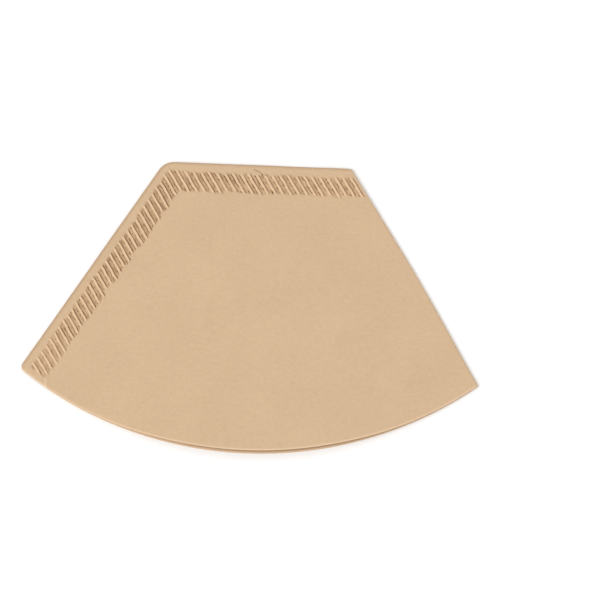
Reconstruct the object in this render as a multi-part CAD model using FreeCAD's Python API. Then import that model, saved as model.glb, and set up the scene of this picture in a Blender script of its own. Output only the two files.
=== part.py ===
"""Cone coffee filter of unbleached paper, folded flat, in millimetres.

One sheet of paper is folded over on itself along the +X side. Its two plies are
crimped together along the narrow end (+Y) and along the -X side, and they are
open at the arc-shaped mouth (-Y). The filter lies on its lower ply, +Z up, with
the origin under the middle of its box.
"""
import FreeCAD, Part
import math
import os

# Outline, seen from above
narrow_width = 50.0  # narrow end, from corner to corner
mouth_chord = 122.0  # straight line between the two corners of the mouth
side_half_angle = 31.5  # lean of each side away from the centre line, in degrees
mouth_sagitta = 21.0  # how far the arc of the mouth reaches past that line
narrow_corner_radius = 4.5  # round corner between the two crimped edges
mouth_corner_radius = 1.5  # round corner where the crimped side meets the mouth

# Paper
paper = 0.2  # one ply
seam_gap = 0.1  # air between the plies where the pocket starts

# Crimped seam
crimp_margin = 2.5  # plain strip between the cut edge and the ridges
crimp_band = 5.2  # width of the row of ridges, measured square to the edge
crimp_inner_margin = 0.4  # plain strip between the ridges and the pocket
crimp_mouth_margin = 2.5  # plain strip between the last ridge and the mouth
crimp_fold_margin = 0.8  # plain strip between the first ridge and the fold
ridge_pitch = 1.8  # from ridge to ridge, square to the ridges
ridge_top = 0.45  # flat top of a ridge
ridge_wall = 0.35  # width of each sloping wall beside it
crimp_depth = 0.6  # from the top of a ridge to the floor of a groove

# Pocket between the plies
settle_run = 6.0  # strip in which the lower ply comes down beside the seam
mouth_lift = 1.7  # how far the upper ply bows up in the middle of the mouth

# Worked out from the sizes above
half_narrow = narrow_width / 2
half_mouth = mouth_chord / 2
lean = math.radians(side_half_angle)
side_reach = (half_mouth - half_narrow) / math.tan(lean)
total_length = side_reach + mouth_sagitta
mouth_radius = (half_mouth**2 + mouth_sagitta**2) / (2 * mouth_sagitta)
double_ply = 2 * paper + seam_gap
seam_low = crimp_depth / 2
seam_top = seam_low + double_ply
seam_width = crimp_margin + crimp_band + crimp_inner_margin
y_narrow = total_length / 2
y_mouth = -total_length / 2
y_arc_centre = y_mouth + mouth_radius
y_pocket = y_narrow - seam_width
y_settled = y_pocket - settle_run
overshoot = 2 * double_ply  # how far a body reaches past what cuts it, or past what it cuts
y_past_mouth = y_mouth - overshoot
across_ridges = FreeCAD.Vector(math.cos(lean), math.sin(lean), 0)
along_fold = FreeCAD.Vector(math.sin(lean), -math.cos(lean), 0)
arch_points = 7  # points on the arched line of the upper ply


def side_x(y, inset):
    """Half the width of the filter at y, with its slanted sides moved in by inset."""
    return half_narrow + (y_narrow - y) * math.tan(lean) - inset / math.cos(lean)


def mouth_corner(sign, side_inset, mouth_inset):
    """Where a slanted side, moved in, meets the arc of the mouth, moved in."""
    radius = mouth_radius - mouth_inset
    start = FreeCAD.Vector(side_x(y_narrow, side_inset), y_narrow - y_arc_centre, 0)
    halfway = start.dot(along_fold)
    run = -halfway + math.sqrt(halfway**2 - start.dot(start) + radius**2)
    corner = start + along_fold * run
    return FreeCAD.Vector(sign * corner.x, corner.y + y_arc_centre, 0)


def wedge(left, narrow, fold, mouth, z_low, z_high):
    """Block with the outline of the filter, each edge moved in by its own amount."""
    y_top = y_narrow - narrow
    near_left = mouth_corner(-1, left, mouth)
    near_right = mouth_corner(1, fold, mouth)
    far_left = FreeCAD.Vector(-side_x(y_top, left), y_top, 0)
    far_right = FreeCAD.Vector(side_x(y_top, fold), y_top, 0)
    arc_middle = FreeCAD.Vector(0, y_mouth + mouth, 0)
    edges = [
        Part.LineSegment(near_left, far_left).toShape(),
        Part.LineSegment(far_left, far_right).toShape(),
        Part.LineSegment(far_right, near_right).toShape(),
        Part.Arc(near_right, arc_middle, near_left).toShape(),
    ]
    face = Part.Face(Part.Wire(edges))
    face.translate(FreeCAD.Vector(0, 0, z_low))
    return face.extrude(FreeCAD.Vector(0, 0, z_high - z_low))


def round_corner(block, corner, radius):
    """Round the upright edge of a block that stands at a corner of its outline."""
    upright = [
        edge
        for edge in block.Edges
        if all(math.hypot(v.X - corner.x, v.Y - corner.y) < paper for v in edge.Vertexes)
    ]
    return block.makeFillet(radius, upright)


def pocket_zone():
    """Everything inside the two seams, past the fold and past the mouth."""
    reach = overshoot
    return wedge(seam_width, seam_width, -reach, -reach, -reach, seam_top + reach)


def crimp_zone():
    """The L-shaped strip that carries the ridges, taller than they are."""
    z_low = -overshoot
    z_high = seam_top + crimp_depth + overshoot
    strip = wedge(
        crimp_margin, crimp_margin, crimp_fold_margin, crimp_mouth_margin, z_low, z_high
    )
    y_top = y_narrow - crimp_margin
    corner = FreeCAD.Vector(-side_x(y_top, crimp_margin), y_top, 0)
    strip = round_corner(strip, corner, max(narrow_corner_radius - crimp_margin, paper))
    inner = crimp_margin + crimp_band
    return strip.cut(wedge(inner, inner, -overshoot, -overshoot, z_low, z_high))


def seam_plate():
    """The two plies pressed together, without the ridges."""
    plate = wedge(0, 0, 0, 0, seam_low, seam_top)
    far_left = FreeCAD.Vector(-half_narrow, y_narrow, 0)
    plate = round_corner(plate, far_left, narrow_corner_radius)
    plate = round_corner(plate, mouth_corner(-1, 0, 0), mouth_corner_radius)
    return plate.cut(pocket_zone())


def ridge_sheet():
    """Both plies in steep ridges and grooves, all of them parallel to the fold."""
    fold_place = FreeCAD.Vector(half_narrow, y_narrow, 0).dot(across_ridges)
    last_place = mouth_corner(-1, 0, 0).dot(across_ridges)
    count = math.ceil((fold_place - last_place) / ridge_pitch)
    first_ridge = fold_place - crimp_fold_margin - ridge_top / 2 - ridge_wall
    wave = [(fold_place, 0)]
    for number in range(count):
        middle = first_ridge - number * ridge_pitch
        wave.append((middle + ridge_top / 2 + ridge_wall, 0))
        wave.append((middle + ridge_top / 2, crimp_depth))
        wave.append((middle - ridge_top / 2, crimp_depth))
        wave.append((middle - ridge_top / 2 - ridge_wall, 0))
    wave.append((wave[-1][0] - ridge_pitch, 0))
    start = along_fold * (-2 * total_length)
    under = [start + across_ridges * place + FreeCAD.Vector(0, 0, height) for place, height in wave]
    lift = FreeCAD.Vector(0, 0, double_ply)
    over = [point + lift for point in reversed(under)]
    outline = Part.makePolygon(under + over + [under[0]])
    return Part.Face(outline).extrude(along_fold * (4 * total_length))


def seam():
    """The crimped edge along the narrow end and the -X side."""
    zone = crimp_zone()
    ridges = ridge_sheet().common(zone)
    return seam_plate().cut(zone).fuse(ridges)


def fold_radius(y):
    """Outer radius of the fold: half the seam's thickness there, half its height once settled."""
    settled = min((y_pocket - y) / settle_run, 1.0)
    return (double_ply + seam_low * settled) / 2


def fold_section(y):
    """Half ring across the fold at y, one ply thick, with its top level with the seam's."""
    radius = fold_radius(y)
    middle = FreeCAD.Vector(side_x(y, 0) - radius, y, seam_top - radius)
    up = FreeCAD.Vector(0, 0, 1)
    out = FreeCAD.Vector(1, 0, 0)
    inner = radius - paper
    edges = [
        Part.Arc(middle - up * radius, middle + out * radius, middle + up * radius).toShape(),
        Part.LineSegment(middle + up * radius, middle + up * inner).toShape(),
        Part.Arc(middle + up * inner, middle + out * inner, middle - up * inner).toShape(),
        Part.LineSegment(middle - up * inner, middle - up * radius).toShape(),
    ]
    return Part.Wire(edges)


def fold():
    """The rounded fold, from the seam to past the mouth."""
    opening = Part.makeLoft([fold_section(y_pocket), fold_section(y_settled)], True, True)
    run = (y_settled - y_past_mouth) / math.cos(lean)
    return opening.fuse(Part.Face(fold_section(y_settled)).extrude(along_fold * run))


def settle_cut(corner, inward, along):
    """Block that lies under the sloping strip of the lower ply beside one seam."""
    slope = seam_low / settle_run
    up = FreeCAD.Vector(0, 0, 1)
    points = [
        corner - inward * overshoot + up * (seam_low + slope * overshoot),
        corner + inward * settle_run,
        corner + inward * settle_run - up * overshoot,
        corner - inward * overshoot - up * overshoot,
    ]
    face = Part.Face(Part.makePolygon(points + [points[0]]))
    face.translate(along * (-2 * total_length))
    return face.extrude(along * (4 * total_length))


def lower_ply():
    """The ply that lies on the table: flat, with a strip sloping up to each seam."""
    outline = [
        FreeCAD.Vector(-side_x(y_pocket, seam_width), y_pocket, 0),
        FreeCAD.Vector(side_x(y_pocket, 0) - fold_radius(y_pocket), y_pocket, 0),
        FreeCAD.Vector(side_x(y_settled, 0) - fold_radius(y_settled), y_settled, 0),
        FreeCAD.Vector(side_x(y_past_mouth, 0) - fold_radius(y_settled), y_past_mouth, 0),
        FreeCAD.Vector(-side_x(y_past_mouth, seam_width), y_past_mouth, 0),
    ]
    block = Part.Face(Part.makePolygon(outline + [outline[0]])).extrude(
        FreeCAD.Vector(0, 0, seam_top)
    )
    corner = outline[0]
    down = FreeCAD.Vector(0, -1, 0)
    to_right = FreeCAD.Vector(1, 0, 0)
    off_side = FreeCAD.Vector(math.cos(lean), -math.sin(lean), 0)
    down_side = FreeCAD.Vector(-math.sin(lean), -math.cos(lean), 0)
    block = block.cut(settle_cut(corner, down, to_right))
    block = block.cut(settle_cut(corner, off_side, down_side))
    above = block.copy()
    above.translate(FreeCAD.Vector(0, 0, paper))
    return block.cut(above)


def arch_section(y):
    """Upper ply across the filter at y: it arches by a squared sine from seam to fold."""
    bow = mouth_lift * (y_pocket - y) / (y_pocket - y_mouth)
    left = -side_x(y, seam_width)
    right = side_x(y, 0) - fold_radius(y)
    top = []
    for number in range(arch_points):
        share = number / (arch_points - 1)
        height = seam_top + bow * math.sin(math.pi * share) ** 2
        top.append(FreeCAD.Vector(left + (right - left) * share, y, height))
    level = FreeCAD.Vector(1, 0, 0)
    arch = Part.BSplineCurve()
    arch.interpolate(Points=top, InitialTangent=level, FinalTangent=level)
    over = arch.toShape()
    under = over.copy()
    under.translate(FreeCAD.Vector(0, 0, -paper))
    down = FreeCAD.Vector(0, 0, -paper)
    edges = [
        over,
        Part.LineSegment(top[-1], top[-1] + down).toShape(),
        under,
        Part.LineSegment(top[0] + down, top[0]).toShape(),
    ]
    return Part.Wire(edges)


def upper_ply():
    """The arched ply on top, from the seams to past the mouth."""
    stations = [y_pocket, y_settled, y_past_mouth]
    return Part.makeLoft([arch_section(y) for y in stations], True, True)


def mouth_disc():
    """Everything on the filter's side of the mouth's arc."""
    height = seam_top + 2 * mouth_lift + 2 * overshoot
    base = FreeCAD.Vector(0, y_arc_centre, -overshoot)
    return Part.makeCylinder(mouth_radius, height, base)


def paper_filter():
    """The whole filter, with the origin under the middle of its box."""
    pocket = lower_ply().multiFuse([upper_ply(), fold()]).common(mouth_disc())
    whole = seam().fuse(pocket).removeSplitter()
    box = whole.optimalBoundingBox(False, False)
    whole.translate(FreeCAD.Vector(-box.Center.x, -box.Center.y, -box.ZMin))
    return whole


os.makedirs("parts", exist_ok=True)
shape = paper_filter()
shape.exportStep("parts/paper_filter.step")
size = shape.optimalBoundingBox(False, False)
print("solids", len(shape.Solids), "valid", shape.isValid(), "faces", len(shape.Faces))
print("box", round(size.XLength, 2), round(size.YLength, 2), round(size.ZLength, 2))
print("volume", round(shape.Volume, 1), "cubic millimetres")
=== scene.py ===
# %% [markdown]
# # A paper coffee filter, folded flat
# The object is one sheet of unbleached filter paper. It is folded over on itself
# along its right side, and its two plies are crimped together along the narrow
# end and the left side. The measured model already fixes its outline and its
# thickness. This lesson gives it the surface that a camera sees: thin plies with
# real cut edges, slanted ridges, a soft fold and a fibrous, slightly blotchy paper.

# %% Load the measured model
import math

import bpy
import numpy as np
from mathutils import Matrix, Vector


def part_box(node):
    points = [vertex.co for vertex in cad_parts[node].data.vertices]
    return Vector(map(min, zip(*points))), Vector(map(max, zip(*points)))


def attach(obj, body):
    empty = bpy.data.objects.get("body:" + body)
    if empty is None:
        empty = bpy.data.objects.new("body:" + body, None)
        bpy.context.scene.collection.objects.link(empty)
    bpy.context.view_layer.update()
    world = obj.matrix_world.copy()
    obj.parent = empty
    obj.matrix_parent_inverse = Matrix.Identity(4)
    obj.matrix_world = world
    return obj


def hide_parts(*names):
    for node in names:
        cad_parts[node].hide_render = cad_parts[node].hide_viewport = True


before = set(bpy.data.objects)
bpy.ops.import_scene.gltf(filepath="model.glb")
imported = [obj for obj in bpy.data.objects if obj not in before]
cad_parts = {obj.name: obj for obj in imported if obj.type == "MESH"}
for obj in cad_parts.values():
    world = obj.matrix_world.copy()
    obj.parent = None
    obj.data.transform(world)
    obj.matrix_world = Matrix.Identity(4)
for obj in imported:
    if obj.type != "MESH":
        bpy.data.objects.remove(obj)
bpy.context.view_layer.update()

MM = 0.001
low, high = (np.array(corner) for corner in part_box("paper_filter"))
print("the folded filter measures", np.round((high - low) / MM, 2), "mm")

# %% [markdown]
# ## Sizes
# Everything is worked out from the outline of the folded filter and a few sizes
# of its crimped seam. The box of the measured model gives the overall length and
# the place of the fold's corner at the mouth, which is its furthest point to the
# right. The round corner on the left stops the box a little short, so the middle
# of the filter is found from the right.

# %% Driving sizes
narrow_width = 50 * MM
mouth_chord = 122 * MM
lean = math.radians(31.5)
narrow_corner_radius = 4.5 * MM
mouth_corner_radius = 1.5 * MM
paper = 0.2 * MM
seam_gap = 0.1 * MM
seam_low = 0.3 * MM
crimp_margin = 2.5 * MM
crimp_band = 5.2 * MM
crimp_inner_margin = 0.4 * MM
crimp_mouth_margin = 1.7 * MM
crimp_fold_margin = 0.8 * MM
ridge_pitch = 1.8 * MM
ridge_top = 0.45 * MM
ridge_wall = 0.35 * MM
crimp_depth = 0.6 * MM
settle_run = 6 * MM
mouth_lift = 1.7 * MM
fold_bow = 0.6 * MM
mouth_retreat = 0.3 * MM

# %% Worked out from them
SIN, COS, TAN = math.sin(lean), math.cos(lean), math.tan(lean)
x_middle = high[0] - mouth_chord / 2
y_narrow, y_mouth = high[1], low[1]
side_reach = (mouth_chord - narrow_width) / 2 / TAN
sagitta = y_narrow - y_mouth - side_reach
mouth_radius = ((mouth_chord / 2) ** 2 + sagitta**2) / (2 * sagitta)
arc_centre = np.array([x_middle, y_mouth + mouth_radius])
double_ply = 2 * paper + seam_gap
seam_top = seam_low + double_ply
seam_width = crimp_margin + crimp_band + crimp_inner_margin
y_pocket = y_narrow - seam_width
print("the mouth is an arc of", round(mouth_radius / MM, 1), "mm radius")

# %% [markdown]
# ## Where the camera stands
# The photograph looks down on the filter from the mouth's side, steeply and from
# far away: the ridges keep the same spacing from the near end to the far end, as
# they do through a very long lens. So the camera is a long lens far off, aimed a
# little to the right of the filter, because the picture leaves room there.

# %% Camera
lens_mm = 600
camera_azimuth = math.radians(2.34)
camera_elevation = math.radians(73.76)
camera_distance = 2.665
camera_target = Vector((12.45 * MM, 2.95 * MM, 0.5 * MM))


def direction(azimuth, elevation):
    """Unit vector from the filter: azimuth 0 is over the mouth, and it turns towards the fold."""
    flat = math.cos(elevation)
    return Vector((math.sin(azimuth) * flat, -math.cos(azimuth) * flat, math.sin(elevation)))


def looking(name, data, place, target):
    """New object at a place, turned so that its own -Z points at the target."""
    thing = bpy.data.objects.new(name, data)
    thing.location = place
    thing.rotation_mode = "QUATERNION"
    thing.rotation_quaternion = (place - target).to_track_quat("Z", "Y")
    bpy.context.scene.collection.objects.link(thing)
    return thing


lens = bpy.data.cameras.new("long_lens")
lens.lens = lens_mm
lens.sensor_width = 36
lens.clip_start = 0.1
lens.clip_end = 20
view_from = camera_target + direction(camera_azimuth, camera_elevation) * camera_distance
bpy.context.scene.camera = looking("camera", lens, view_from, camera_target)
print("camera", [round(value, 3) for value in view_from])

# %% [markdown]
# ## Lines across the paper
# The ridges all run parallel to the fold, round the corner too. So the paper is
# drawn in the fold's own frame: `s` is the distance from the fold, square to it,
# and `t` runs along it towards the mouth. A line of constant `s` then lies along
# a ridge for its whole length. It starts at a cut edge, on the narrow end or on
# the left side, and it ends at the mouth. Only the two round corners need care:
# there a line starts or ends on a small circle.

# %% The fold's frame
fold_corner = np.array([x_middle + narrow_width / 2, y_narrow])
to_seam = np.array([-COS, -SIN])
to_mouth = np.array([SIN, -COS])


def fold_frame(point):
    """(s, t) of a point on the table: its shadow on each axis of the fold's frame."""
    return (point - fold_corner) @ to_seam, (point - fold_corner) @ to_mouth


def on_table(s, t):
    """x and y of points given by s and t, which may be whole arrays."""
    x = fold_corner[0] + s * to_seam[0] + t * to_mouth[0]
    y = fold_corner[1] + s * to_seam[1] + t * to_mouth[1]
    return x, y


print("the fold starts at", np.round(fold_corner / MM, 2), "mm")


# %% The outline, line by line
corner_s, corner_t = fold_frame(np.array([x_middle - narrow_width / 2, y_narrow]))
arc_s, arc_t = fold_frame(arc_centre)
side_slope = 1 / math.tan(2 * lean)
side_square = math.sin(2 * lean)
cos_double = math.cos(2 * lean)


def side_line(s, inset=0):
    """t on the left cut edge at s, or on a line beside it, moved in."""
    return corner_t + (s - corner_s) * side_slope + inset / side_square


# The middle of the narrow end's round corner lies a radius inside both edges.
radius = narrow_corner_radius
far_s = (corner_s * side_slope - corner_t - radius / side_square + radius / COS) / (TAN + side_slope)
far_t = -far_s * TAN + radius / COS
far_range = (far_s - radius * SIN, far_s + radius * cos_double)

# The middle of the mouth's round corner lies a radius inside the left side and
# inside the arc, which makes its s the root of a quadratic.
radius = mouth_corner_radius
base = side_line(0, radius) - arc_t
square = 1 + side_slope**2
linear = 2 * (side_slope * base - arc_s)
rest = arc_s**2 + base**2 - (mouth_radius - radius) ** 2
near_s = (-linear + math.sqrt(linear**2 - 4 * square * rest)) / (2 * square)
near_t = side_line(near_s, radius)
near_side = near_s + radius * cos_double
near_arc = near_s + radius * (near_s - arc_s) / (mouth_radius - radius)
last_s = near_s + radius


def circle(s, middle, radius):
    """Half the height of a circle at s, by Pythagoras."""
    return np.sqrt(np.maximum(radius**2 - (s - middle) ** 2, 0))


def line_start(s):
    """t where the line at s starts: narrow end, round corner, left side, mouth corner."""
    edges = [s < far_range[0], s < far_range[1], s < near_side]
    places = [
        -s * TAN,
        far_t - circle(s, far_s, narrow_corner_radius),
        side_line(s),
    ]
    return np.select(edges, places, near_t - circle(s, near_s, mouth_corner_radius))


def line_end(s):
    """t where the line at s ends: on the mouth's arc, or on the corner's circle."""
    on_arc = arc_t + circle(s, arc_s, mouth_radius)
    on_corner = near_t + circle(s, near_s, mouth_corner_radius)
    return np.where(s < near_arc, on_arc, on_corner)


print("lines run from the fold to", round(last_s / MM, 1), "mm beside it")

# %% [markdown]
# ## Which lines to draw
# A ridge has a narrow top and two steep walls. Twelve lines for each ridge, close
# together on the walls and far apart on the flats, show it with few faces. The
# points along a line are placed in the same spirit: close together at both ends of
# the ridges, far apart over the pocket, and a little closer again at the mouth.

# %% Rows and columns of points
first_ridge = crimp_fold_margin + ridge_wall + ridge_top / 2
half_top = ridge_top / 2
top_share = 0.8
wall_shares = np.array([0.2, 0.5, 0.8, 1.2])
stops = np.concatenate([[half_top * top_share], half_top + ridge_wall * wall_shares])
stops = np.concatenate([-stops[::-1], [0], stops, [ridge_pitch / 2]])
ridge_count = math.ceil((last_s - first_ridge) / ridge_pitch)
ridge_places = first_ridge + ridge_pitch * np.arange(ridge_count)
fold_rows = 4
before = np.linspace(0, first_ridge + stops[0], fold_rows, endpoint=False)
corner_rows = last_s - np.array([0.45, 0.3, 0.18, 0.09, 0.03, 0.005]) * MM
rows = (ridge_places[:, None] + stops).ravel()
rows = np.concatenate([before, rows[rows < corner_rows[0]], corner_rows])

edge_stops = np.array(
    [0, 0.8, 1.5, 2, 2.3, 2.5, 2.75, 3.1, 3.8, 4.5, 5.2, 5.9, 6.6, 7.1, 7.45, 7.7, 7.95, 8.3, 8.8]
) * MM
pocket_columns = 15
most_of_line = 0.6
crowding = 1.25
print(len(rows), "lines of", len(edge_stops) + pocket_columns, "points")


def smooth(value, start, end):
    """0 before start, 1 after end, and 3u² - 2u³ in between."""
    u = np.clip((value - start) / (end - start), 0, 1)
    return u * u * (3 - 2 * u)


def columns(s):
    """t of every point on the lines at s.

    The first points keep their distance from the cut edge, squeezed where they
    would take up most of a short line. The others share out what is left of the
    line, a little closer together near the mouth, by a power of what is left.
    """
    s = s[:, None]
    start, end = line_start(s), line_end(s)
    slant = COS + (side_square - COS) * smooth(s, far_range[0], far_range[1])
    near_edge = edge_stops / slant
    squeeze = np.minimum(1, most_of_line * (end - start) / near_edge[:, -1:])
    near_edge = start + near_edge * squeeze
    share = np.linspace(0, 1, pocket_columns + 1)[1:]
    share = 1 - (1 - share) ** crowding
    beyond = near_edge[:, -1:] + (end - near_edge[:, -1:]) * share
    return np.concatenate([near_edge, beyond], axis=1)


# %% [markdown]
# ## How far a point is from each edge
# The crimping wheel follows the cut edge at a constant distance, round the corner
# too. So the ridges start and stop by the distance to the nearest cut edge, and
# inside the corner that is the distance to the corner's circle.

# %% Distances
def edge_distance(x, y):
    """Distance to the crimped cut edge: to the narrow end, the left side or their round corner."""
    to_narrow = y_narrow - y
    to_side = (x - x_middle + narrow_width / 2 + to_narrow * TAN) * COS
    circle_x, circle_y = on_table(far_s, far_t)
    dx, dy = x - circle_x, y - circle_y
    around = (dx < 0) & (-dx * SIN - dy * COS < 0)
    on_corner = narrow_corner_radius - np.hypot(dx, dy)
    return np.where(around, on_corner, np.minimum(to_narrow, to_side))


def mouth_distance(x, y):
    """Distance to the mouth's arc, from inside."""
    return mouth_radius - np.hypot(x - arc_centre[0], y - arc_centre[1])


print("the seam is", round(seam_width / MM, 1), "mm wide")


# %% [markdown]
# ## The crimp
# Each ridge is a flat top between two steep walls, pressed into both plies at
# once. The teeth of a crimping wheel wear and slip, so no two ridges are quite
# alike: a seeded random draw gives each its own height, place and ends. The ridges
# of the narrow end reach a touch further in, and those of the left side start a
# touch nearer the cut edge. At the corner, where the wheel has to turn, they start
# nearer still and are deepest.

# %% Ridges
chance = np.random.default_rng(7)
ridge_height = chance.uniform(0.75, 1.1, ridge_count + 1)
ridge_shift = chance.normal(0, 0.04, ridge_count + 1) * MM
ridge_from = chance.normal(0, 0.12, ridge_count + 1) * MM
ridge_to = chance.normal(0, 0.25, ridge_count + 1) * MM
row_offset = 0.2 * MM
corner_offset = 0.3 * MM
corner_spread = 6 * MM
past_corner = first_ridge + ridge_pitch * np.arange(ridge_count + 1) - corner_s
ridge_from = ridge_from - row_offset * (past_corner > 0)
ridge_from = ridge_from - corner_offset * np.exp(-((past_corner / corner_spread) ** 2))
ridge_to = ridge_to + row_offset * (past_corner < 0)
ridge_phase = chance.uniform(0, 2 * math.pi, (3, ridge_count + 1))
far_x, far_y = on_table(far_s, far_t)


def ridge_number(s):
    """Number of the ridge nearest to s, counted from the fold."""
    return np.clip(np.round((s - first_ridge) / ridge_pitch).astype(int), 0, ridge_count)


end_run = 0.35 * MM
mouth_run = 0.5 * MM


def crimp_mask(s, x, y):
    """1 inside the crimped band and 0 outside, with a short step at each ridge's two ends."""
    number = ridge_number(s)
    edge = edge_distance(x, y)
    begin = crimp_margin + ridge_from[number]
    stop = crimp_margin + crimp_band + ridge_to[number]
    mask = smooth(edge, begin, begin + end_run) * (1 - smooth(edge, stop - end_run, stop))
    mouth_end = crimp_mouth_margin + mouth_run
    mask = mask * smooth(mouth_distance(x, y), crimp_mouth_margin, mouth_end)
    return mask * (s > crimp_fold_margin)


print("room for", ridge_count, "ridges,", round(ridge_pitch / MM, 1), "mm apart")


# %% Height of the ridges
waver_depth, waver_length = 0.035 * MM, 0.75 * MM
swell_share, swell_length = 0.25, 0.95 * MM
sag_share, sag_length = 0.12, 1.3 * MM
pucker_share, pucker_outside, pucker_inside = 0.08, 1 * MM, 0.3 * MM
bite_loss, bite_near, bite_far = 0.25, 12 * MM, 45 * MM


def crimp_height(s, t, x, y):
    """Height of the crimp above the seam's middle.

    It goes from the groove's floor to the ridge's top by a smooth step over the
    wall's width. The ridge's line wavers, its width swells and its height sags along
    it as slow sines. Past both ends of the ridge a faint pucker lives on for up to a
    millimetre.
    """
    number = ridge_number(s)
    waver = np.sin(t / waver_length + ridge_phase[0][number])
    swell = np.sin(t / swell_length + ridge_phase[1][number])
    sag = np.sin(t / sag_length + ridge_phase[2][number])
    offset = s - first_ridge - number * ridge_pitch - ridge_shift[number]
    offset = np.abs(offset + waver_depth * waver)
    top = half_top * (1 + swell_share * swell)
    ridge = 1 - smooth(offset, top, top + ridge_wall)
    ridge = ridge * (1 - sag_share * (1 + sag))
    edge = edge_distance(x, y)
    pucker = pucker_share * smooth(edge, crimp_margin - pucker_outside, crimp_margin)
    pucker_end = seam_width + pucker_inside
    pucker = pucker * (1 - smooth(edge, crimp_margin + crimp_band, pucker_end))
    pucker = pucker * smooth(s, 0, ridge_pitch)
    mask = np.maximum(crimp_mask(s, x, y), pucker)
    bite = 1 - bite_loss * smooth(np.hypot(x - far_x, y - far_y), bite_near, bite_far)
    return crimp_depth * (ridge - 0.5) * ridge_height[number] * bite * mask


# %% [markdown]
# ## The two plies
# Beside the seam the lower ply settles onto the table within a few millimetres.
# The upper ply stays at the seam's height along its borders and arches up towards
# the middle of the mouth. Outside the ridges nothing holds the plies together, so
# they part a little at the cut edge, and the margin ripples slightly. Near the left
# end of the mouth one ridge runs on as a small crease.

# %% Heights of the plies
pleat_from = np.array([x_middle - 54.0 * MM, y_mouth + 19.0 * MM])
pleat_to = np.array([x_middle - 53.7 * MM, y_mouth + 14.6 * MM])
pleat_height = 0.16 * MM
pleat_width = 0.45 * MM
parting = 0.05 * MM
margin_wave = 0.06 * MM
pocket_wave = 0.05 * MM


def side_x(y, inset):
    """Half the filter's width at y, with its slanted sides moved in."""
    return narrow_width / 2 + (y_narrow - y) * TAN - inset / COS


def arch(x, y):
    """Rise of the upper ply: a squared sine across the pocket, growing towards the mouth."""
    down = np.clip((y_pocket - y) / (y_pocket - y_mouth), 0, None)
    left = -side_x(y, seam_width)
    right = side_x(y, double_ply)
    share = np.clip((x - x_middle - left) / np.maximum(right - left, MM), 0, 1)
    return mouth_lift * down * np.sin(math.pi * share) ** 2


def ripple(x, y):
    """Slow waves left in the paper, as a sum of a few sines that cross each other."""
    waves = np.sin(x / (7 * MM) + 0.8) * np.sin(y / (9 * MM) + 2.1)
    waves = waves + 0.6 * np.sin((x + 1.7 * y) / (11 * MM))
    return waves


def pleat(x, y):
    """A small sharp crease that runs on from a ridge's end to the mouth: a bell across it."""
    along = np.clip((pleat_from[1] - y) / (pleat_from[1] - pleat_to[1]), 0, 1)
    middle = pleat_from[0] + (pleat_to[0] - pleat_from[0]) * along
    fade = smooth(pleat_from[1] - y, -1.5 * MM, 0.5 * MM)
    return pleat_height * np.exp(-(((x - middle) / pleat_width) ** 2)) * fade


def plies(s, t):
    """Middle heights of the upper and the lower ply.

    Both start from the seam's middle, half a ply and half the gap apart, with the
    crimp added. Slow sines part them and wave them in the margin outside the ridges.
    The upper ply then adds its arch, and the lower one sinks to the table.
    """
    x, y = on_table(s, t)
    edge = edge_distance(x, y)
    wave = crimp_height(s, t, x, y) + pleat(x, y)
    outside = 1 - smooth(edge, 0, crimp_margin)
    part = parting * outside * (1 + 0.7 * np.sin((x + y) / (4.3 * MM)))
    margin = margin_wave * outside * np.sin((x - y) / (3.1 * MM) + 1.3)
    inside = smooth(edge, seam_width, seam_width + settle_run)
    middle = seam_low + double_ply / 2
    apart = (paper + seam_gap) / 2
    upper = middle + apart + wave + margin + part
    upper = upper + arch(x, y) + pocket_wave * inside * ripple(x, y)
    lower = middle - apart + wave + margin - part - seam_low * inside
    return upper, lower


print("the mouth lifts by", round(arch(x_middle, y_mouth) / MM, 2), "mm in its middle")


# %% [markdown]
# ## The fold
# Paper that is folded but not creased hard stays round at the fold, as a small
# half tube. Its top is level with the seam all along, and it starts as thick as the
# seam and widens until it reaches down to the table. The fold also bows outwards a
# little, because the pocket springs open in the middle.

# %% Half tube
fold_steps = 9
bow_fade = 25 * MM


def fold_radius(t):
    """Outer radius of the fold at t: half the seam, and then half the settled height."""
    settled = smooth(t * COS, seam_width, seam_width + settle_run)
    return (double_ply + seam_low * settled) / 2


def bowed(s, t):
    """s moved outwards by a power of a half sine along the fold, fading away from it."""
    length = line_end(np.array(0.0))
    along = np.sin(math.pi * np.clip(t / length, 0, 1)) ** 1.5
    return s - fold_bow * along * (1 - smooth(s, 0, bow_fade))


end_radii = fold_radius(np.array([0, line_end(0.0)])) / MM
print("the fold's radius at its two ends:", np.round(end_radii, 2), "mm")


# %% [markdown]
# ## From lines to a sheet with thickness
# The whole filter is one sheet, so it is one grid. It starts at the far left of
# the upper ply, goes round the fold and comes back along the lower ply. Half a
# ply's thickness to each side of this middle surface gives the outside and the
# inside of the paper. Narrow strips close the cut edges. Where the upper ply is
# lifted, its mouth also stands back a little, as paper that arches has to.

# %% Middle surface
retreat_run = 12 * MM
t_plies = columns(rows)
s_plies = np.repeat(rows[:, None], t_plies.shape[1], axis=1)
at_fold = smooth(s_plies, 0, first_ridge - ridge_top)
s_plies = s_plies + fold_radius(t_plies) * (1 - at_fold)
upper, lower = plies(s_plies, t_plies)
x_plies, y_plies = on_table(bowed(s_plies, t_plies), t_plies)
lift = np.clip((upper - lower - paper - seam_gap) / mouth_lift, 0, 1)
to_arc = mouth_distance(x_plies, y_plies)
retreat = mouth_retreat * lift * (1 - smooth(to_arc, 0, retreat_run))

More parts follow.
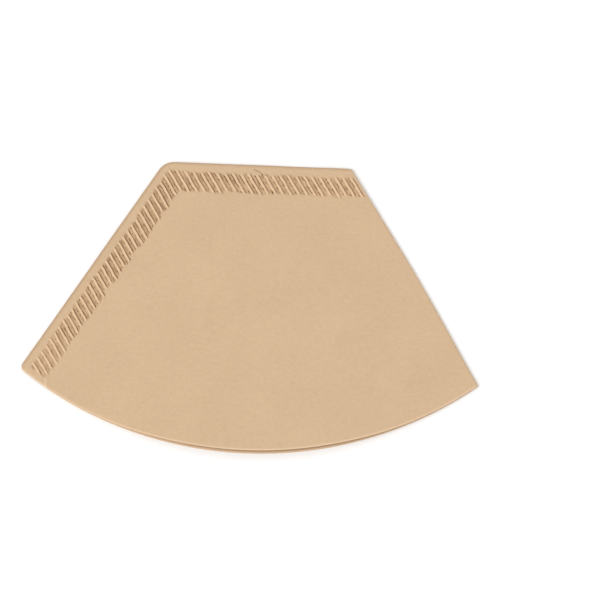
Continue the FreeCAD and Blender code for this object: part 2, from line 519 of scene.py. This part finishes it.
angle = np.linspace(90, -90, fold_steps + 2)[1:-1, None]
turn_cos, turn_sin = np.cos(np.radians(angle)), np.sin(np.radians(angle))
t_fold = np.repeat(t_plies[:1], fold_steps, axis=0)
outer = fold_radius(t_fold)
middle_radius = outer - paper / 2
s_fold = outer - middle_radius * turn_cos
z_fold = seam_top - outer + middle_radius * turn_sin
x_fold, y_fold = on_table(bowed(s_fold, t_fold), t_fold)

middle = np.concatenate(
    [
        np.stack([x_plies, y_plies + retreat, upper], axis=-1)[::-1],
        np.stack([x_fold, y_fold, z_fold], axis=-1),
        np.stack([x_plies, y_plies, lower], axis=-1),
    ]
)
up = np.zeros_like(x_plies)
facing = np.concatenate(
    [
        np.stack([up, up, up + 1], axis=-1),
        np.stack(
            [
                -to_seam[0] * turn_cos + 0 * t_fold,
                -to_seam[1] * turn_cos + 0 * t_fold,
                turn_sin + 0 * t_fold,
            ],
            axis=-1,
        ),
        np.stack([up, up, up - 1], axis=-1),
    ]
)


def all_round(on_plies, on_fold):
    """A value of every point of the sheet, from its value on a ply and on the fold."""
    whole = np.concatenate([on_plies[::-1], np.zeros_like(t_fold) + on_fold, on_plies])
    return np.tile(whole.ravel(), 2)


print("the sheet's grid is", middle.shape[0], "by", middle.shape[1])


# %% Mesh
def strip(first, second, third, fourth):
    """Faces from four matching arrays of corner numbers."""
    return np.stack([first.ravel(), second.ravel(), third.ravel(), fourth.ravel()], axis=-1)


def sheet_faces(number):
    """Outside, inside and cut edges of a thick sheet, from the numbers of its outer points."""
    inner = number + number.size
    outside = strip(number[:-1, :-1], number[:-1, 1:], number[1:, 1:], number[1:, :-1])
    inside = strip(inner[:-1, :-1], inner[1:, :-1], inner[1:, 1:], inner[:-1, 1:])
    cuts = [
        strip(number[:-1, 0], number[1:, 0], inner[1:, 0], inner[:-1, 0]),
        strip(number[1:, -1], number[:-1, -1], inner[:-1, -1], inner[1:, -1]),
        strip(number[0, 1:], number[0, :-1], inner[0, :-1], inner[0, 1:]),
        strip(number[-1, :-1], number[-1, 1:], inner[-1, 1:], inner[-1, :-1]),
    ]
    return np.concatenate([outside, inside]), np.concatenate(cuts)


number = np.arange(middle[..., 0].size).reshape(middle.shape[:2])
skins, cuts = sheet_faces(number)
faces = np.concatenate([skins, cuts])
points = np.concatenate([middle + facing * paper / 2, middle - facing * paper / 2])

mesh = bpy.data.meshes.new("filter_sheet")
mesh.vertices.add(2 * number.size)
mesh.vertices.foreach_set("co", points.ravel())
mesh.loops.add(faces.size)
mesh.loops.foreach_set("vertex_index", faces.ravel())
mesh.polygons.add(len(faces))
mesh.polygons.foreach_set("loop_start", np.arange(0, faces.size, 4))
mesh.update(calc_edges=True)
mesh.validate()
print(len(mesh.polygons), "faces")

# %% Soft plies with crisp cut edges
rim = np.zeros(number.shape, bool)
rim[0] = rim[-1] = rim[:, 0] = rim[:, -1] = True
rim = np.tile(rim.ravel(), 2)
ends = np.empty(2 * len(mesh.edges), int)
mesh.edges.foreach_get("vertices", ends)
ends = ends.reshape(-1, 2)
same_skin = (ends < number.size).sum(axis=1) != 1
crisp = mesh.attributes.new("sharp_edge", "BOOLEAN", "EDGE")
cut_rims = rim[ends].all(axis=1) & same_skin
crisp.data.foreach_set("value", cut_rims)
mesh.polygons.foreach_set("use_smooth", np.ones(len(faces), bool))
cut_index = np.concatenate([np.zeros(len(skins), int), np.ones(len(cuts), int)])
mesh.polygons.foreach_set("material_index", cut_index)
sheet = bpy.data.objects.new("filter_sheet", mesh)
bpy.context.scene.collection.objects.link(sheet)
print(cut_rims.sum(), "crisp edges along the cuts")

# %% [markdown]
# ## What the material needs to know
# The finest marks of the crimp, the dark creases at the feet of its walls, are
# thinner than the mesh's faces. The material draws them, and for that each point
# carries five numbers: which ridge it is on, how far along the ridge it lies,
# whether it is inside the crimped band, and how far it is from the crimped cut
# edge and from the mouth.

# %% Numbers on the points
edge_mm = np.maximum(edge_distance(x_plies, y_plies), 0) / MM
mouth_mm = np.maximum(to_arc, 0) / MM
# The fold's own points count as far from both edges.
far_mm = 5
ridge_place = (s_plies - first_ridge - ridge_shift[ridge_number(s_plies)]) / ridge_pitch
numbers = {
    "ridge": all_round(ridge_place, -1),
    "along": all_round(t_plies / MM, 0),
    "crimped": all_round(crimp_mask(s_plies, x_plies, y_plies), 0),
    "to_edge": all_round(edge_mm, far_mm),
    "to_mouth": all_round(mouth_mm, far_mm),
}
for name, values in numbers.items():
    layer = mesh.attributes.new(name, "FLOAT", "POINT")
    layer.data.foreach_set("value", values)
print("numbers on the points:", ", ".join(numbers))

# %% [markdown]
# ## Shader arithmetic
# A paper's colour is a sum of faint patterns. Written as nodes that takes dozens
# of boxes, so a small class lets a socket be added, subtracted and multiplied as
# if it were a number.

# %% Sockets that can be added and multiplied
class Paint:
    """A material being made: node() adds any node and returns one of its outputs."""

    def __init__(self, name):
        self.material = bpy.data.materials.new(name)
        self.material.use_nodes = True
        self.tree = self.material.node_tree
        self.tree.nodes.clear()

    def node(self, kind, settings=None, sockets=None, out=0):
        """Add a node of a kind, with its settings, and then the values or links of its sockets."""
        made = self.tree.nodes.new(kind)
        for key, value in (settings or {}).items():
            setattr(made, key, value)
        for key, value in (sockets or {}).items():
            if isinstance(value, Wire):
                self.tree.links.new(value.socket, made.inputs[key])
            else:
                made.inputs[key].default_value = value
        return Wire(self, made.outputs[out] if made.outputs else None)

    def number(self, name):
        """A number that the mesh's points carry."""
        return self.node("ShaderNodeAttribute", {"attribute_name": name}, {}, "Fac")

    def mix(self, share, first, second):
        """Colour between two colours, by a share from 0 to 1."""
        settings = {"data_type": "RGBA", "blend_type": "MIX"}
        return self.node("ShaderNodeMix", settings, {"Factor": share, 6: first, 7: second}, 2)


class Wire:
    """One output socket. Arithmetic on it adds Math nodes to its material."""

    def __init__(self, paint, socket):
        self.paint, self.socket = paint, socket

    def math(self, operation, *others, clamp=False):
        """One Math node on this wire and up to two others."""
        sockets = dict(enumerate([self, *others]))
        settings = {"operation": operation, "use_clamp": clamp}
        return self.paint.node("ShaderNodeMath", settings, sockets)

    def clamped(self):
        """The same number, held between 0 and 1."""
        return self.math("ADD", 0.0, clamp=True)

    def __add__(self, other):
        return self.math("ADD", other)

    __radd__ = __add__

    def __mul__(self, other):
        return self.math("MULTIPLY", other)

    __rmul__ = __mul__

    def __sub__(self, other):
        return self.math("SUBTRACT", other)

    def __rsub__(self, other):
        return self * -1 + other

    def step(self, start, end):
        """0 at start and 1 at end, smoothly, as a Map Range node."""
        sockets = {"Value": self, "From Min": start, "From Max": end}
        return self.paint.node(
            "ShaderNodeMapRange", {"interpolation_type": "SMOOTHSTEP"}, sockets
        )


# %% [markdown]
# ## Unbleached filter paper
# Up close the paper is a felt of wood fibres: faint cloudy patches where the pulp
# lay thicker, fine short fibres in every direction, and a few dark specks of bark.
# The patterns are laid out in millimetres on the filter's own coordinates.

# %% Fibres and felt
def noise(paint, place, scale, detail=0.0, roughness=0.5, distortion=0.0):
    """A cloudy pattern from 0 to 1, about 1 / scale millimetres from cloud to cloud."""
    sockets = {
        "Vector": place,
        "Scale": scale,
        "Detail": detail,
        "Roughness": roughness,
        "Distortion": distortion,
    }
    return paint.node("ShaderNodeTexNoise", {}, sockets)


def fibres(paint, place, angle, spacing, seed):
    """Thin curved lines: where a stretched, distorted noise crosses its middle value."""
    sockets = {
        "Vector": place,
        "Location": (seed * 3.1, seed * 1.7, seed),
        "Rotation": (0, 0, math.radians(angle)),
        "Scale": (0.35 / spacing, 1.6 / spacing, 1 / spacing),
    }
    turned = paint.node("ShaderNodeMapping", {}, sockets)
    line = noise(paint, turned, 1.0, detail=1.5, distortion=1.4) - 0.5
    broken = noise(paint, turned, 0.9).step(0.42, 0.6)
    return line.math("ABSOLUTE").step(0.035, 0.0) * broken


def felt_tone(paint, place):
    """Tone of the plain paper, 0 dark to 1 light, and the relief of its fibres."""
    clouds = noise(paint, place, 0.07, detail=2.0)
    felt = noise(paint, place, 1.1, detail=5.0, roughness=0.62)
    lines = fibres(paint, place, 20, 0.9, 1) + fibres(paint, place, 75, 0.8, 2)
    lines = lines + fibres(paint, place, -35, 1.1, 3) + fibres(paint, place, -70, 0.7, 4)
    cells = {"Vector": place, "Scale": 0.22, "Randomness": 1.0}
    speck = paint.node("ShaderNodeTexVoronoi", {}, cells, "Distance").step(0.045, 0.02)
    tone = 0.5 + (clouds - 0.5) * 0.6 + (felt - 0.5) * 1.2 + (lines - 0.3) * 0.25
    return tone - speck * 0.5, felt * 0.5 + lines * 0.5


# %% [markdown]
# ## Marks of the crimp
# A wall of a ridge ends in a sharp crease, where the fibres are crushed and dark,
# and the crease's dark colour is also painted shade, the shade of the ridge's walls
# and grooves. On the narrow end the crease away from the fold is a little stronger,
# and on the left side the one towards the fold is. A third comes and goes between the
# ridges, and the groove's floor gets a little painted shade too. They wander, break up
# into pits and fade near the mouth, while the ridge's top gets a painted highlight, a
# shade lighter. The marks are worked out across one ridge, where 0 is its middle and
# 0.5 the middle of the groove, and noise varies them from ridge to ridge.

# %% Creases with painted shade, and painted highlights on the tops
corner_ridges = (22, 26)
mouth_ridges = (46, 52)


def band(value, middle, half_width):
    """1 where a value is at the middle, falling smoothly to 0 at half a width from it."""
    return (value - middle).math("ABSOLUTE").step(half_width, 0.0)


def crimp_marks(paint):
    """How dark the creases and their painted shade make a point, how light the painted highlight on
    a ridge's top makes it, and how hard it is pressed.
    """
    ridge = paint.number("ridge")
    crimped = paint.number("crimped")
    along = paint.number("along")
    count = (ridge + 0.5).math("FLOOR")

    def uneven(seed, length):
        """Noise that runs along each ridge on its own, over about a length in millimetres."""
        sockets = {"X": count * 3.7 + seed, "Y": along * (1 / length), "Z": seed}
        return noise(paint, paint.node("ShaderNodeCombineXYZ", {}, sockets), 1.0, detail=1.0)

    across = ridge - count + (uneven(1.5, 1.4) - 0.5) * 0.2
    on_left = ridge.step(*corner_ridges)
    towards_fold = band(across, -0.25, 0.1) * (0.35 + 0.65 * uneven(4.5, 1.5).step(0.4, 0.56))
    from_fold = band(across + (uneven(21.5, 5) - 0.5) * 0.12, 0.28, 0.08)
    from_fold = from_fold * (0.15 + 0.85 * uneven(7.5, 1.3).step(0.4, 0.56))
    third = band(across + (uneven(23.5, 5) - 0.5) * 0.25, 0.42, 0.065)
    third = third * uneven(9.5, 1.2).step(0.45, 0.6)
    pits = 1 + uneven(13.5, 0.45).step(0.58, 0.68)
    # Painted shade: the groove's floor and the creases, with their pits, are darkened where walls
    # and grooves lie in shade, on top of the creases' own crushed fibres.
    floor = across.math("ABSOLUTE").step(0.12, 0.3)
    dark = floor * (0.04 + 0.06 * on_left) + third * 0.8 * pits
    dark = dark + towards_fold * (0.75 + 0.5 * on_left) * pits
    dark = dark + from_fold * (1.05 - 0.3 * on_left) * pits
    dark = dark * (1 - 0.35 * ridge.step(*mouth_ridges))
    # Painted highlight along the ridge's top.
    light = band(across, 0.0, 0.16) * (0.55 + 0.45 * uneven(11.5, 1.2))
    return (dark * crimped).clamped() * 0.95, light * crimped, crimped


# %% [markdown]
# ## One material for the paper
# Crimping presses the fibres together, which gives the whole band a warmer tone
# under its marks. The last millimetre before the crimped cut edge is painted a shade
# darker as painted shade, and the mouth's two lips and the pleat's crease are painted
# lighter as a painted highlight, strongest on the lower ply under the lifted mouth. One
# loose fibre lies on the narrow end. The same material in lighter tones covers the cuts.

# %% Paper
fibre_start = np.array([x_middle - 1.3 * MM, y_narrow - 1.0 * MM])
fibre_end = np.array([x_middle + 2.6 * MM, y_narrow - 3.1 * MM])
fibre_width = 0.28
# Half width of the painted highlight along the pleat's crease, in millimetres.
pleat_highlight_width = 0.5
fibre_relief = 0.06 * MM


def crease(paint, place, start, end, half_width):
    """1 on a straight line between two points of the table, fading over half a width in mm."""
    start, end = (start / MM).tolist(), (end / MM).tolist()
    length = math.hypot(end[0] - start[0], end[1] - start[1])
    turn = math.atan2(end[1] - start[1], end[0] - start[0])
    sockets = {"Vector": place, "Location": (*start, 0), "Rotation": (0, 0, turn)}
    turned = paint.node("ShaderNodeMapping", {"vector_type": "TEXTURE"}, sockets)
    x = paint.node("ShaderNodeSeparateXYZ", {}, {"Vector": turned}, "X")
    y = paint.node("ShaderNodeSeparateXYZ", {}, {"Vector": turned}, "Y")
    on_length = x.step(0.0, 0.4) * x.step(length, length - 0.8)
    return band(y + (noise(paint, place, 0.8) - 0.5) * 0.3, 0.0, half_width) * on_length


def painted_edge_shade(paint):
    """Painted shade: how much darker the paper is painted in the last millimetre before the crimped
    cut edge.
    """
    edge = paint.number("to_edge")
    return edge.step(0.85, 0.6) * 0.12 + edge.step(0.35, 0.05) * 0.3


def painted_lip_highlight(paint, place):
    """Painted highlight: how much lighter the paper is painted at the mouth, and most of all low
    down, on the lower ply that the upper one shades.
    """
    mouth = paint.number("to_mouth")
    height = paint.node("ShaderNodeSeparateXYZ", {}, {"Vector": place}, "Z")
    both = mouth.step(0.7, 0.2) * 0.3 + mouth.step(0.3, 0.1) * 0.4
    return both + height.step(0.35, 0.2) * mouth.step(0.55, 0.3) * 0.7


def filter_paper(name, light, dark, pressed, crushed_and_shaded, painted_highlight):
    """Fibrous paper between two tones, with the crimp's marks, painted shade in the creases and at
    the crimped cut edge, and painted highlights on the tops, the pleat and the mouth's lips.
    """
    paint = Paint(name)
    place = paint.node("ShaderNodeTexCoord", out="Object")
    place = paint.node("ShaderNodeMapping", {}, {"Vector": place, "Scale": (1 / MM,) * 3})
    tone, relief = felt_tone(paint, place)
    marks, tops, crimped = crimp_marks(paint)
    loose_fibre = crease(paint, place, fibre_start, fibre_end, fibre_width)
    # Painted highlight along the pleat's crease.
    pleat_highlight = crease(paint, place, pleat_from, pleat_to, pleat_highlight_width)
    # Painted highlights: on the ridges' tops, along the pleat's crease and on the mouth's two lips.
    tops = tops * 0.95 + pleat_highlight * 0.4 + painted_lip_highlight(paint, place)
    # Painted shade of the creases and of the crimped cut edge, together with the dark of crushed
    # fibres and of the loose fibre.
    shade = (marks + loose_fibre * 0.45 + painted_edge_shade(paint)).clamped()
    colour = paint.mix(tone.clamped(), dark, light)
    colour = paint.mix(crimped * 0.6, colour, pressed)
    colour = paint.mix(tops.clamped(), colour, painted_highlight)
    colour = paint.mix(shade, colour, crushed_and_shaded)
    relief = relief - shade * 1.2
    bump = {"Strength": 0.5, "Distance": fibre_relief, "Height": relief}
    sockets = {
        "Base Color": colour,
        "Roughness": 0.86 + (relief - 0.5) * 0.05,
        "Normal": paint.node("ShaderNodeBump", {}, bump),
        "Specular IOR Level": 0.2,
    }
    shader = paint.node("ShaderNodeBsdfPrincipled", {}, sockets)
    paint.node("ShaderNodeOutputMaterial", {}, {"Surface": shader})
    return paint.material


# %% Tones of the paper
tan_light = (0.63, 0.455, 0.292, 1)
tan_dark = (0.54, 0.378, 0.235, 1)
tan_pressed = (0.6, 0.405, 0.235, 1)
# Tone of the painted highlights on the tops, the pleat and the lips.
tan_highlight = (0.8, 0.585, 0.395, 1)
# Colour of the creases: crushed fibres darkened further as painted shade.
tan_crushed_and_shaded = (0.13, 0.037, 0.003, 1)
cut_light = (0.72, 0.53, 0.355, 1)
face_paper = filter_paper(
    "unbleached_paper", tan_light, tan_dark, tan_pressed, tan_crushed_and_shaded, tan_highlight
)
cut_paper = filter_paper("cut_paper", cut_light, tan_light, tan_light, tan_dark, cut_light)
mesh.materials.append(face_paper)
mesh.materials.append(cut_paper)
print("materials:", [material.name for material in mesh.materials])

# %% [markdown]
# ## Table and light
# The filter lies on a plain white table. Most of the light is an even white glow
# from all round, as in a light tent. One large lamp, well away on the left, gives
# the ridges a bright and a dark side and lights both ends of the filter alike.

# %% White table
table_size = 6.0
table_mesh = bpy.data.meshes.new("table")
half = table_size / 2
drop = -0.05 * MM
table_white = (0.93, 0.93, 0.93, 1)
corners = [(-half, -half, drop), (half, -half, drop), (half, half, drop), (-half, half, drop)]
table_mesh.from_pydata(corners, [], [(0, 1, 2, 3)])
table = bpy.data.objects.new("table", table_mesh)
bpy.context.scene.collection.objects.link(table)
table_paint = Paint("white_table")
table_shader = table_paint.node(
    "ShaderNodeBsdfPrincipled",
    {},
    {"Base Color": table_white, "Roughness": 0.9, "Specular IOR Level": 0.1},
)
table_paint.node("ShaderNodeOutputMaterial", {}, {"Surface": table_shader})
table_mesh.materials.append(table_paint.material)
print("the table is", table_size, "m wide, so that its edges stay out of the picture")

# %% Light tent and lamp
scene = bpy.context.scene
scene.view_settings.view_transform = "Standard"
tent = bpy.data.worlds.new("light_tent")
tent.use_nodes = True
glow = tent.node_tree.nodes["Background"]
glow.inputs["Color"].default_value = (1.0, 0.99, 0.98, 1)
glow.inputs["Strength"].default_value = 0.925
scene.world = tent
lamp_azimuth = math.radians(-70)
lamp_elevation = math.radians(41)
lamp_distance = 3.5
lamp = bpy.data.lights.new("large_lamp", "AREA")
lamp.shape = "DISK"
lamp.size = 2.0
lamp.energy = 52
lamp_place = camera_target + direction(lamp_azimuth, lamp_elevation) * lamp_distance
looking("large_lamp", lamp, lamp_place, camera_target)
print("lamp at", [round(value, 2) for value in lamp_place])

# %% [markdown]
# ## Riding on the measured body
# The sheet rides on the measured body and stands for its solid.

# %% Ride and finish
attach(sheet, "root")
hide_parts("paper_filter")
